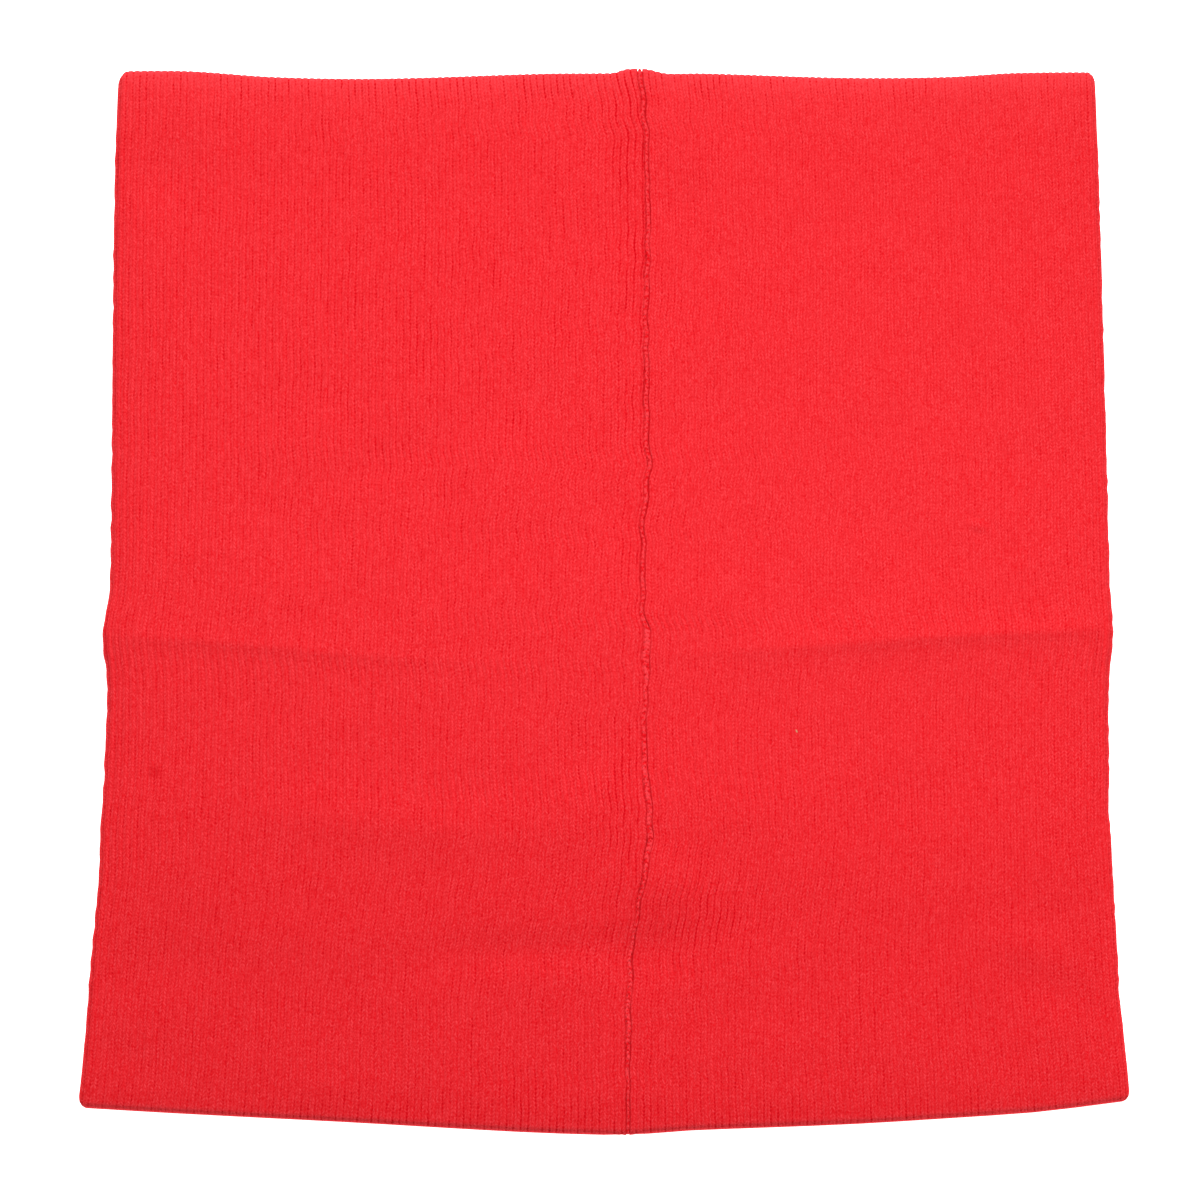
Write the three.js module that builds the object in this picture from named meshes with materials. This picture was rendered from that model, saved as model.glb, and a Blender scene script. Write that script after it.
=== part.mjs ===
// Knitted neck warmer: a rib-knit tube laid flat on a table, upper layer over lower layer.
// Millimetres, +Z up. The table is z = 0, the top hem lies toward +Y, and the origin is on the
// table under the middle of the tube. One panel is wrapped round into the tube, and its two long
// edges are linked by a chain that runs from hem to hem down the upper layer, right of the middle.
import * as THREE from "three";

// ---- driving dimensions ----
const LENGTH = 284.6; // hem to hem along the linked seam
const WALL = 2.5; // rib knit folded double at both hems
const LAYER_GAP = 0.4; // air between the layers where they are pressed together
const RIB_DEPTH = 0.35; // crest of a rib above its groove
const RIBS = { left: 76, right: 69 }; // ribs of the upper layer on either side of the seam
const CHAIN_WIDTH = 1.25; // the linking chain
const CHAIN_SINK = 0.2; // crown of the chain below the ribs beside it
const SEAM_CLEARANCE = 0.3; // between the chain and the panel's edge on each side
const SEAM_TUCK = 0.55; // how far the panel's edges dive beside the chain
const SEAM_TUCK_REACH = 4; // width over which they dive
const COLOUR = { knit: 0xf02c33, chain: 0xd8262d };
const ROUGHNESS = 0.92;

const PRESSED = 2 * WALL + LAYER_GAP; // height of the flattened tube
const FOLD_REACH = PRESSED / 2; // a side fold is half a circle in section
const SEAM_HALF = CHAIN_WIDTH / 2 + SEAM_CLEARANCE;

// The tube's outline from the bottom hem (along 0) to the top hem (along 1). left, right and seam
// are the places of the two side folds and of the seam; lift is how far the upper layer stands off
// the lower one, most along the storage crease that crosses the tube.
const OUTLINE = [
  { along: 0.0, left: -135.8, right: 136.0, seam: 6.4, lift: 0.0 },
  { along: 0.03, left: -135.0, right: 135.4, seam: 6.3, lift: 0.2 },
  { along: 0.09, left: -133.9, right: 134.0, seam: 5.8, lift: 0.8 },
  { along: 0.17, left: -132.5, right: 133.1, seam: 7.4, lift: 1.6 },
  { along: 0.22, left: -131.4, right: 132.6, seam: 9.8, lift: 2.1 },
  { along: 0.265, left: -131.3, right: 132.0, seam: 13.6, lift: 2.4 },
  { along: 0.31, left: -130.6, right: 132.1, seam: 10.4, lift: 2.5 },
  { along: 0.4, left: -130.3, right: 132.6, seam: 10.1, lift: 2.5 },
  { along: 0.446, left: -131.6, right: 133.9, seam: 10.3, lift: 3.1 },
  { along: 0.49, left: -130.1, right: 133.3, seam: 10.2, lift: 2.6 },
  { along: 0.6, left: -130.1, right: 133.1, seam: 11.0, lift: 2.1 },
  { along: 0.75, left: -130.5, right: 132.8, seam: 11.2, lift: 1.5 },
  { along: 0.9, left: -130.7, right: 132.4, seam: 10.7, lift: 0.8 },
  { along: 1.0, left: -130.3, right: 131.9, seam: 10.6, lift: 0.0 },
];

// The tight pucker that the seam's jog pulls up in the upper layer beside it.
const PUCKER = { along: 0.236, height: 0.6, across: 13, length: 9 };
const LIFT_SHARE = 16; // the lift dies out toward the side folds with this power

// How far each hem stands from a straight line: across is -1 at the left fold, 0 at the seam and
// 1 at the right fold. The bottom hem bows down to the seam, and the top one waves a little.
const HEMS = [
  { across: -1.0, bottom: 7.2, top: -0.6 },
  { across: -0.86, bottom: 6.0, top: -0.4 },
  { across: -0.7, bottom: 4.8, top: -2.4 },
  { across: -0.5, bottom: 3.3, top: -3.1 },
  { across: -0.18, bottom: 0.8, top: -1.4 },
  { across: 0.0, bottom: 0.0, top: 0.0 },
  { across: 0.07, bottom: 0.8, top: -1.5 },
  { across: 0.14, bottom: 1.4, top: -1.6 },
  { across: 0.45, bottom: 2.9, top: -2.5 },
  { across: 0.82, bottom: 6.1, top: -1.3 },
  { across: 1.0, bottom: 9.0, top: -1.2 },
];

// Radii to which the hems' corners are worn round, by side fold.
const CORNERS = {
  left: { bottom: 2.0, top: 4.5 },
  right: { bottom: 2.0, top: 2.5 },
};
const CORNER_SHARE = 6; // a corner's rounding dies out along the tube with this power

// How a hem rounds over, by the distance from its end: drop of the ribbed face, rise of the plain
// face under it, dip of the lower layer's plain face and heel of the underside above the table.
const HEM_ROLL = [
  { setback: 0.0, drop: 1.25, rise: 0.65, dip: 0.95, heel: 0.95 },
  { setback: 0.7, drop: 0.75, rise: 0.15, dip: 0.2, heel: 0.25 },
  { setback: 2.5, drop: 0.4, rise: 0.0, dip: 0.0, heel: 0.0 },
  { setback: 8.0, drop: 0.0, rise: 0.0, dip: 0.0, heel: 0.0 },
];
const NO_ROLL = { drop: 0, rise: 0, dip: 0, heel: 0 };

// Distances from the bottom hem of the rings of points between the two hem rolls. They stand
// closest where the seam jogs and puckers and where the crease crosses.
const BODY_RINGS = [50, 59, 67, 76, 90, 117, 127, 139, 200];

// The zones met on the way round the panel, from the seam's left edge over the left fold, under
// the tube and back to the right edge: straight stretches outside and on the plain inside.
const ZONES = [
  { name: "left ribs", outside: 2 * RIBS.left, inside: 8 },
  { name: "left fold", outside: 9, inside: 3 },
  { name: "underside", outside: 8, inside: 8 },
  { name: "right fold", outside: 9, inside: 3 },
  { name: "right ribs", outside: 2 * RIBS.right, inside: 8 },
];
const zone = Object.fromEntries(ZONES.map((entry) => [entry.name, entry]));

// ---- reading the tables ----
// A smooth value of one column at a place along the key column: a cubic between two rows.
function read(table, key, at, column) {
  const last = table.length - 1;
  const above = table.findIndex((row) => row[key] > at);
  const from = above < 0 ? last - 1 : Math.max(above - 1, 0);
  const slope = (k) => {
    const [a, b] = [table[Math.max(k - 1, 0)], table[Math.min(k + 1, last)]];
    return (b[column] - a[column]) / (b[key] - a[key]);
  };
  const [a, b] = [table[from], table[from + 1]];
  const run = b[key] - a[key];
  const t = THREE.MathUtils.clamp((at - a[key]) / run, 0, 1);
  const ease = t * t * (3 - 2 * t);
  const leave = t * (1 - t) ** 2 * run * slope(from);
  const arrive = t * t * (t - 1) * run * slope(from + 1);
  return a[column] + (b[column] - a[column]) * ease + leave + arrive;
}

// ---- the tube's form ----
function makeRing(setFromBottom, roll) {
  const along = setFromBottom / LENGTH;
  const ring = { along, ...roll };
  for (const column of ["left", "right", "seam", "lift"]) {
    ring[column] = read(OUTLINE, "along", along, column);
  }
  return ring;
}

function ringsOfTube() {
  const bottom = HEM_ROLL.map((roll) => makeRing(roll.setback, roll));
  const body = BODY_RINGS.map((setFromBottom) => makeRing(setFromBottom, NO_ROLL));
  const top = HEM_ROLL.map((roll) => makeRing(LENGTH - roll.setback, roll)).reverse();
  return [...bottom, ...body, ...top];
}

// -1 at the left fold, 0 at the seam, 1 at the right fold.
function acrossAt(ring, x) {
  const side = x < ring.seam ? ring.seam - ring.left : ring.right - ring.seam;
  return THREE.MathUtils.clamp((x - ring.seam) / side, -1, 1);
}

// How far a corner of this radius sets a hem back, at a distance inward from the side fold.
function cornerSetback(radius, inward) {
  const short = THREE.MathUtils.clamp(radius - inward, 0, radius);
  return radius - Math.sqrt(radius ** 2 - short ** 2);
}

// A point of a ring: the ring follows the bow of the hems, so its y changes across the tube.
function place(ring, x, z) {
  const across = acrossAt(ring, x);
  const corner = across < 0 ? CORNERS.left : CORNERS.right;
  const inward = across < 0 ? x - ring.left : ring.right - x;
  const bottom =
    -LENGTH / 2 +
    read(HEMS, "across", across, "bottom") +
    cornerSetback(corner.bottom, inward) * (1 - ring.along) ** CORNER_SHARE;
  const top =
    LENGTH / 2 +
    read(HEMS, "across", across, "top") -
    cornerSetback(corner.top, inward) * ring.along ** CORNER_SHARE;
  return new THREE.Vector3(x, THREE.MathUtils.lerp(bottom, top, ring.along), z);
}

// How far the upper layer is lifted: the lift dies out toward the side folds, and the pucker is a
// short soft bump over the seam.
function liftAt(ring, x) {
  const crease = ring.lift * (1 - Math.abs(acrossAt(ring, x)) ** LIFT_SHARE);
  const aside = (x - ring.seam) / PUCKER.across;
  const away = ((ring.along - PUCKER.along) * LENGTH) / PUCKER.length;
  return crease + PUCKER.height * Math.exp(-(aside ** 2) - away ** 2);
}

// Where the half circle of a side fold has its middle.
function foldMiddle(ring, side) {
  return side < 0 ? ring.left + FOLD_REACH : ring.right - FOLD_REACH;
}

// A row of points between two x, both ends included, at the height that a function gives.
function row(ring, from, to, stretches, height) {
  return Array.from({ length: stretches + 1 }, (_, i) => {
    const x = THREE.MathUtils.lerp(from, to, i / stretches);
    return place(ring, x, height(x, i));
  });
}

// Points round a side fold between the heights of its upper and lower face, ends left out.
function roundFold(ring, side, stretches, upper, lower, reach, ribDepth) {
  const points = [];
  for (let i = 1; i < stretches; i++) {
    const turn = (Math.PI * i) / stretches;
    const out = reach + (i % 2 ? ribDepth / 2 : -ribDepth / 2);
    const x = foldMiddle(ring, side) + side * out * Math.sin(turn);
    const z = (upper + lower) / 2 + ((upper - lower) / 2) * Math.cos(turn);
    points.push(place(ring, x, z));
  }
  return points;
}

// ---- the knit panel: one ring of points outside, and one on the plain inside ----
function ribbedRow(ring, side) {
  const edge = ring.seam + side * SEAM_HALF;
  const { outside } = zone[side < 0 ? "left ribs" : "right ribs"];
  const wallShare = (WALL - ring.drop - ring.rise) / WALL;
  return row(ring, edge, foldMiddle(ring, side), outside, (x, i) => {
    const rib = i % 2 ? RIB_DEPTH / 2 : -RIB_DEPTH / 2;
    const nearSeam = Math.max(0, 1 - Math.abs(x - edge) / SEAM_TUCK_REACH);
    const tuck = SEAM_TUCK * wallShare * nearSeam ** 2;
    return PRESSED + liftAt(ring, x) - ring.drop + rib - tuck;
  });
}

function outsideRing(ring) {
  const fold = (side) => {
    const { outside } = zone[side < 0 ? "left fold" : "right fold"];
    const upper = PRESSED + liftAt(ring, foldMiddle(ring, side)) - ring.drop;
    const reach = FOLD_REACH - ring.heel;
    return roundFold(ring, side, outside, upper, ring.heel, reach, RIB_DEPTH);
  };
  const under = row(
    ring, foldMiddle(ring, -1), foldMiddle(ring, 1), zone.underside.outside, () => ring.heel,
  );
  const left = [...ribbedRow(ring, -1), ...fold(-1)];
  const right = [...ribbedRow(ring, 1), ...fold(1)].reverse();
  return [...left, ...under, ...right];
}

function insideRing(ring) {
  const ceiling = (x) => PRESSED - WALL + liftAt(ring, x) + ring.rise;
  const floor = WALL - ring.dip;
  const upper = (side) => {
    const { inside } = zone[side < 0 ? "left ribs" : "right ribs"];
    return row(ring, ring.seam + side * SEAM_HALF, foldMiddle(ring, side), inside, ceiling);
  };
  const fold = (side) => {
    const { inside } = zone[side < 0 ? "left fold" : "right fold"];
    const reach = LAYER_GAP / 2 + ring.dip;
    return roundFold(ring, side, inside, ceiling(foldMiddle(ring, side)), floor, reach, 0);
  };
  const under = row(
    ring, foldMiddle(ring, -1), foldMiddle(ring, 1), zone.underside.inside, () => floor,
  );
  return [...upper(-1), ...fold(-1), ...under, ...[...upper(1), ...fold(1)].reverse()];
}

// ---- closed bodies ----
// Collects triangles whose corners are points, and makes one geometry of them.
function makeShell() {
  const corners = [];
  const triangle = (a, b, c) => corners.push(...a, ...b, ...c);
  const quad = (a, b, c, d) => {
    triangle(a, b, c);
    triangle(a, c, d);
  };
  const geometry = () => {
    const made = new THREE.BufferGeometry();
    made.setAttribute("position", new THREE.Float32BufferAttribute(corners, 3));
    made.computeVertexNormals();
    return made;
  };
  return { triangle, quad, geometry };
}

// Which outside point stands over each inside point, zone by zone.
function facingPoints() {
  const facing = [0];
  let passed = 0;
  for (const { outside, inside } of ZONES) {
    for (let j = 1; j <= inside; j++) {
      facing.push(passed + Math.round((outside * j) / inside));
    }
    passed += outside;
  }
  return facing;
}

// Closes the hem between the many outside points and the few inside ones.
function closeHem(shell, outer, inner, facing, turned) {
  const add = turned
    ? (a, b, c) => shell.triangle(a, c, b)
    : (a, b, c) => shell.triangle(a, b, c);
  for (let j = 0; j + 1 < inner.length; j++) {
    const middle = Math.floor((facing[j] + facing[j + 1]) / 2);
    for (let i = facing[j]; i < facing[j + 1]; i++) {
      add(outer[i], outer[i + 1], i < middle ? inner[j] : inner[j + 1]);
    }
    add(inner[j], outer[middle], inner[j + 1]);
  }
}

function knitPanelGeometry(rings) {
  const outer = rings.map(outsideRing);
  const inner = rings.map(insideRing);
  const shell = makeShell();
  for (let r = 0; r + 1 < rings.length; r++) {
    const [near, far, nearIn, farIn] = [outer[r], outer[r + 1], inner[r], inner[r + 1]];
    for (let i = 0; i + 1 < near.length; i++) {
      shell.quad(near[i], far[i], far[i + 1], near[i + 1]);
    }
    for (let j = 0; j + 1 < nearIn.length; j++) {
      shell.quad(nearIn[j], nearIn[j + 1], farIn[j + 1], farIn[j]);
    }
    shell.quad(near[0], nearIn[0], farIn[0], far[0]);
    shell.quad(near.at(-1), far.at(-1), farIn.at(-1), nearIn.at(-1));
  }
  const facing = facingPoints();
  closeHem(shell, outer[0], inner[0], facing, false);
  closeHem(shell, outer.at(-1), inner.at(-1), facing, true);
  return shell.geometry();
}

// Section of the chain, from its lower left corner over its round crown: shares of its half width
// and of its height.
const CHAIN_SECTION = [
  { out: -1, up: 0 },
  { out: -1, up: 0.72 },
  { out: -0.55, up: 1 },
  { out: 0.55, up: 1 },
  { out: 1, up: 0.72 },
  { out: 1, up: 0 },
];

function chainRing(ring) {
  const bottom = PRESSED - WALL + liftAt(ring, ring.seam) + ring.rise;
  const top = PRESSED + liftAt(ring, ring.seam) - ring.drop - CHAIN_SINK;
  return CHAIN_SECTION.map(({ out, up }) =>
    place(ring, ring.seam + (out * CHAIN_WIDTH) / 2, THREE.MathUtils.lerp(bottom, top, up)),
  );
}

function seamChainGeometry(rings) {
  const loops = rings.map(chainRing);
  const shell = makeShell();
  const sides = CHAIN_SECTION.length;
  for (let r = 0; r + 1 < loops.length; r++) {
    for (let i = 0; i < sides; i++) {
      const next = (i + 1) % sides;
      shell.quad(loops[r][i], loops[r][next], loops[r + 1][next], loops[r + 1][i]);
    }
  }
  const [first, final] = [loops[0], loops.at(-1)];
  for (let i = 1; i + 1 < sides; i++) {
    shell.triangle(first[0], first[i + 1], first[i]);
    shell.triangle(final[0], final[i], final[i + 1]);
  }
  return shell.geometry();
}

// ---- the neck warmer ----
function makePiece(name, geometry, color) {
  const material = new THREE.MeshStandardMaterial({ color, roughness: ROUGHNESS, metalness: 0 });
  const mesh = new THREE.Mesh(geometry, material);
  mesh.name = name;
  return mesh;
}

const rings = ringsOfTube();
const neckWarmer = new THREE.Group();
neckWarmer.add(makePiece("knit_panel", knitPanelGeometry(rings), COLOUR.knit));
neckWarmer.add(makePiece("seam_chain", seamChainGeometry(rings), COLOUR.chain));

// The hems and folds are uneven, so the group is moved until its origin is under the box's middle.
const box = new THREE.Box3().setFromObject(neckWarmer);
const middle = box.getCenter(new THREE.Vector3());
neckWarmer.position.set(-middle.x, -middle.y, -box.min.z);

export default neckWarmer;
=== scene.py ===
# Looks of the knitted neck warmer: a red 1x1 rib-knit tube laid flat on a table, upper layer over
# lower layer, with a folded hem at each end and one linked seam down the upper layer.
# Metres, +Z up, table at z = 0, top hem toward +Y. The tables below are in millimetres.
import math
import random

import bmesh
import bpy
import numpy as np
from mathutils import Euler, Matrix, Vector


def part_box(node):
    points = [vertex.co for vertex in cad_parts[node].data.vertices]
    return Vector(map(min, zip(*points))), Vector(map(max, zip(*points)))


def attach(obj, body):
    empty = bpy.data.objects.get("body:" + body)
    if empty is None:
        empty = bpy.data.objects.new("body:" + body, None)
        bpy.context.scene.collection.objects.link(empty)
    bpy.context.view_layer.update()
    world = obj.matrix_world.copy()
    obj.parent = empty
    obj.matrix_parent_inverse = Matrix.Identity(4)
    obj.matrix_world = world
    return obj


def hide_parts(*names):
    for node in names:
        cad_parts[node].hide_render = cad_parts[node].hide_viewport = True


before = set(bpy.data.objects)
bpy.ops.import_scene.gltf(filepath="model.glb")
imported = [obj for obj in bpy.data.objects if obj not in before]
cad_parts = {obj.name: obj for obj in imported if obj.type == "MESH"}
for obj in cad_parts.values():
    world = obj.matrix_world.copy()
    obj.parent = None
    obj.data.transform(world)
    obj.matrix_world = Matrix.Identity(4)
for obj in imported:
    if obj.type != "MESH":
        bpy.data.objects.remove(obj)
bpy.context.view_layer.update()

MM = 0.001

# ---- driving dimensions, in millimetres ----
chain_low, chain_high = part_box("seam_chain")
panel_low, panel_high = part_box("knit_panel")
LENGTH = (chain_high.y - chain_low.y) / MM  # hem to hem along the linked seam
WALL = 2.5  # rib knit folded double at both hems
LAYER_GAP = 0.4  # air between the layers where they are pressed together
PRESSED = 2 * WALL + LAYER_GAP
FOLD_REACH = PRESSED / 2
SEAM_CLEARANCE = 0.1  # between the chain and the panel's edge on each side
SEAM_TUCK = 0.12  # how far the panel's edges sink beside the chain
SEAM_TUCK_REACH = 5.0  # width over which they sink
SEAM_LIP = {"least": 0.06, "most": 0.26, "reach": 0.45}  # the edges turn down into the grooves
COURSE = 1.0  # one row of stitches
HEM_COURSES = 4.0  # rows of stitches round a hem

# ---- how uneven the cloth is, in millimetres unless a share is named ----
SEAM_WANDER = 0.3  # of the seam's line from stitch to stitch
GROOVE_UNEVEN = 0.4  # share by which the grooves beside the chain open and close
FOLD_RIPPLE = 0.12  # along the side folds
RELIEF_SWELL = 0.06  # of the upper layer, between the swells of the table below
STRENGTH_UNEVEN = 0.12  # share by which the grooves between ribs vary
RIB_SWAY = 0.12  # of the ribs from side to side
RIB_SWAY_REACH = 12  # distance from the seam over which the sway grows to its whole
# For each of these, the length of its waves and the seed that they are drawn from. The grooves and
# the folds add their side, -1 or 1, to the seed.
SEAM_WAVES = (10, 21)
GROOVE_WAVES = (9, 31)
FOLD_WAVES = (5, 41)
RELIEF_WAVES = (26, 3)
STRENGTH_WAVES = (18, 5)
SWAY_WAVES = (30, 7)


def table(columns, *rows):
    """A short table: each named column becomes an array."""
    return dict(zip(columns.split(), np.array(rows, dtype=float).T))


# The tube from the bottom hem (along 0) to the top hem (along 1): the places of the two side
# folds, and how far the upper layer stands off the lower one.
OUTLINE = table(
    "along left right lift",
    (0.0, -135.8, 136.0, 0.0),
    (0.03, -135.0, 135.4, 0.2),
    (0.09, -133.9, 134.0, 0.8),
    (0.17, -132.5, 133.1, 1.6),
    (0.22, -131.4, 132.6, 2.2),
    (0.265, -131.3, 132.0, 2.5),
    (0.31, -130.6, 132.1, 2.65),
    (0.4, -130.3, 132.6, 2.85),
    (0.446, -131.6, 133.9, 2.9),
    (0.49, -130.1, 133.3, 2.75),
    (0.6, -130.1, 133.1, 2.1),
    (0.75, -130.5, 132.8, 1.5),
    (0.9, -130.7, 132.4, 0.9),
    (1.0, -130.3, 131.9, 0.5),
)

# The linked seam: where its chain runs, how wide the chain lies, and how deep the grooves on
# either side of it are, from 0 (closed up) to 1.
SEAM = table(
    "along place width left right",
    (0.0, 6.45, 0.65, 0.9, 0.5),
    (0.05, 6.3, 0.65, 0.7, 0.3),
    (0.09, 6.2, 1.1, 0.6, 0.5),
    (0.126, 6.5, 1.1, 0.5, 0.5),
    (0.155, 6.9, 0.95, 0.15, 0.7),
    (0.185, 8.0, 0.65, 0.5, 0.55),
    (0.22, 10.0, 0.85, 0.6, 0.4),
    (0.245, 11.1, 1.1, 0.5, 0.2),
    (0.267, 12.1, 1.2, 0.0, 0.1),
    (0.29, 11.9, 1.1, 0.3, 0.1),
    (0.315, 11.2, 1.4, 0.6, 0.2),
    (0.35, 10.3, 1.1, 0.55, 0.3),
    (0.385, 10.6, 0.95, 0.5, 0.4),
    (0.41, 11.0, 0.95, 0.4, 0.3),
    (0.43, 11.1, 1.8, 0.7, 0.2),
    (0.458, 11.2, 1.6, 0.6, 0.2),
    (0.475, 10.4, 0.95, 0.3, 0.2),
    (0.51, 10.2, 0.95, 0.9, 0.4),
    (0.54, 10.4, 0.85, 1.0, 0.4),
    (0.56, 10.0, 0.85, 0.8, 0.6),
    (0.59, 11.1, 0.95, 0.25, 1.0),
    (0.615, 11.7, 0.95, 0.3, 1.0),
    (0.65, 11.2, 1.1, 0.8, 0.6),
    (0.7, 11.4, 0.95, 0.9, 0.4),
    (0.735, 11.3, 0.95, 0.4, 0.4),
    (0.757, 11.1, 0.85, 0.15, 0.5),
    (0.79, 11.4, 0.95, 0.9, 0.3),
    (0.86, 11.7, 0.95, 1.0, 0.35),
    (0.905, 11.5, 0.85, 0.9, 0.5),
    (0.93, 11.6, 0.85, 0.6, 0.6),
    (0.95, 11.0, 0.95, 0.1, 0.8),
    (0.97, 10.5, 0.95, 0.7, 0.8),
    (1.0, 9.9, 1.1, 0.6, 0.6),
)
# How many ribs the seam has drawn in on its left: those beside it lean and crowd toward it.
DRAWN_IN = table(
    "along ribs",
    (0.0, 0.5),
    (0.15, 0.5),
    (0.22, 0.3),
    (0.267, -0.6),
    (0.33, 0.3),
    (0.5, 0.5),
    (0.9, 0.8),
    (0.935, 1.0),
    (0.965, 0.5),
    (1.0, -0.1),
)
DRAWN_REACH = 5.0  # ribs over which that dies out
DRAWN_START = 0.8  # ribs over which a rib pushed away from the chain sets in
DRAWN_DIVE = 0.8  # how steeply a rib that is drawn in dives under the chain
LIFT_SHARE = 40  # the lift dies out toward the side folds with this power

# How far each hem stands from a straight line, from the left fold (-1) by the seam (0) to the right.
HEMS = table(
    "across bottom top",
    (-1.0, 7.2, -0.6),
    (-0.86, 6.0, -0.7),
    (-0.7, 4.8, -2.3),
    (-0.5, 3.3, -2.75),
    (-0.18, 0.8, -1.35),
    (-0.08, 0.3, -1.25),
    (-0.05, 0.2, -1.1),
    (-0.026, 0.1, -0.1),
    (0.0, 0.0, 0.0),
    (0.018, 0.2, -0.15),
    (0.055, 0.65, -1.25),
    (0.08, 0.9, -1.35),
    (0.14, 1.4, -1.3),
    (0.45, 2.9, -2.5),
    (0.67, 4.7, -2.3),
    (0.82, 6.1, -1.2),
    (1.0, 9.0, -0.9),
)

# Radii to which the hems' corners are worn round.
CORNERS = {"left": {"bottom": 1.6, "top": 3.4}, "right": {"bottom": 1.2, "top": 2.2}}
CORNER_SHARE = 6  # a corner's rounding dies out along the tube with this power

# How far the ribbed face falls toward a hem, by the distance from it.
HEM_FALL = table(
    "setback bottom top",
    (0.0, 0.7, 0.35),
    (0.7, 0.48, 0.2),
    (2.5, 0.3, 0.1),
    (5.0, 0.14, 0.04),
    (9.0, 0.0, 0.0),
)

# The storage crease across the tube: its path from the left fold to the right one.
CREASE = table(
    "x y rise",
    (-131.6, -12.6, 0.44),
    (-105.0, -14.0, 0.42),
    (-67.0, -17.4, 0.32),
    (-40.0, -19.2, 0.18),
    (-14.0, -20.2, 0.05),
    (0.0, -19.4, 0.02),
    (25.0, -17.2, 0.13),
    (52.0, -15.4, 0.36),
    (80.0, -13.4, 0.52),
    (105.0, -12.0, 0.58),
    (134.0, -10.6, 0.54),
)
CREASE_REACH = {"above": 6.5, "below": 2.8}
CREASE_ROUND = 0.4  # of the ridge's crest

# Soft swells (rise above 0) and dents of the upper layer, listed one by one. Each is a bell of the
# given half widths, turned about its middle by degrees.
SWELLS = table(
    "x y wide long turn rise",
    (5.5, 74.0, 7.0, 13.0, 0, 0.16),
    (14.0, -77.0, 12.0, 8.0, 0, 0.5),
    (22.0, 100.0, 8.0, 24.0, 0, -0.16),
    (35.0, 100.0, 4.0, 22.0, -4, 0.14),
    (24.0, 66.0, 12.0, 6.0, 20, 0.18),
    (5.0, -2.0, 8.0, 14.0, 0, 0.3),
    (-60.0, 33.0, 28.0, 5.0, 20, -0.16),
    (-118.0, 111.5, 10.0, 8.0, 40, -0.6),
    (-117.0, 80.0, 9.0, 30.0, 0, 0.25),
    (118.0, 60.0, 10.0, 60.0, 0, 0.3),
    (-118.0, -98.0, 20.0, 8.0, 20, -0.3),
    (-122.0, -124.0, 18.0, 7.0, -15, -0.25),
    (120.0, -107.0, 20.0, 6.0, -25, -0.35),
    (112.0, -95.0, 16.0, 6.0, -20, 0.25),
    (62.0, -120.0, 38.0, 8.0, 0, 0.25),
    (-88.0, -91.0, 22.0, 6.0, 5, 0.22),
    (5.0, 99.0, 5.0, 8.0, 0, -0.15),
    (4.0, 21.0, 5.0, 6.0, 0, -0.15),
    (-52.0, -62.0, 38.0, 7.0, -5, 0.4),
    (12.0, -58.0, 30.0, 11.0, 0, 0.45),
    (-13.0, -95.0, 26.0, 5.0, 4, -0.5),
    (12.0, -97.0, 12.0, 7.0, 25, -0.35),
    (60.0, 20.0, 30.0, 8.0, -15, -0.12),
    (-25.0, 20.0, 30.0, 12.0, 10, 0.1),
)

# How the swells, dents and crease, and the ripple of the folds, die out: see off_the_hems.
RELIEF_SHARE = 12  # toward the side folds, with this power
RELIEF_RISE = 40  # whole from a fortieth of the length in from a hem
RIPPLE_RISE, RIPPLE_START = 16, 0.5  # begins 3 hundredths of the length in, whole from 10

# ---- the knit ----
RIB_DEPTH = 0.34
RIB_SECTION = {"groove": 0.16, "dip": 0.1, "dip depth": 0.12}  # half widths in ribs, share of depth
DEEPEST_RIB = 1.4  # strength past which a groove grows no deeper
FOLD_FADE = 0.5  # the grooves fade round a side fold while it faces this little up or down
HEM_GROOVE = 0.25  # share of a groove's depth that runs on round the hems
RIBS = {"left": 76, "right": 69}  # of the upper layer on either side of the seam
FOLD_RIBS = 4.5
UNDERSIDE_RIBS = 142
POINTS_PER_RIB = 3
UNDERSIDE_POINTS = 24
FOLD_POINTS = 18

# Where ribs stand out more or less than elsewhere: bells as in SWELLS.
RIB_STRENGTH = table(
    "x y wide long turn gain",
    (6.5, 122.0, 4.5, 24.0, 0, 0.9),
    (7.5, 82.0, 3.5, 16.0, 0, 0.6),
    (7.0, 44.0, 4.0, 16.0, 0, 0.6),
    (7.0, 8.0, 3.5, 12.0, 0, 0.5),
    (5.0, -55.0, 5.5, 20.0, 0, 0.8),
    (24.0, -86.0, 14.0, 9.0, 0, 0.5),
    (-60.0, 70.0, 70.0, 70.0, 0, 0.25),
    (0.0, -80.0, 140.0, 45.0, 0, 0.2),
    (70.0, 40.0, 60.0, 80.0, 0, -0.35),
    (0.0, 140.0, 140.0, 7.0, 0, 0.5),
    (0.0, -140.0, 140.0, 9.0, 0, 0.5),
    (110.0, -6.0, 26.0, 9.0, 0, 0.35),
)

STRENGTH_RANGE = (0.25, 1.8)  # anywhere but beside the chain
LIP_STRENGTH = {"least": 1.6, "gain": 1.6}  # beside the chain, and what a whole groove adds

BUMP = 0.03  # height of the stitches' relief on each rib

# Small marks of wear: x, y, half width, half length, turn in degrees, softness of the border.
SNAG = (98.3, 16.9, 2.0, 1.2, -18.0, 0.9)
SNAG_RISE = 0.2
SMUDGE = (-117.1, -48.6, 1.6, 1.7, 0.0, 0.5)
SMUDGE_SHARE = 0.4
LINT = (50.2, -37.7, 0.2, 0.42, 25.0, 0.35)
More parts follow.
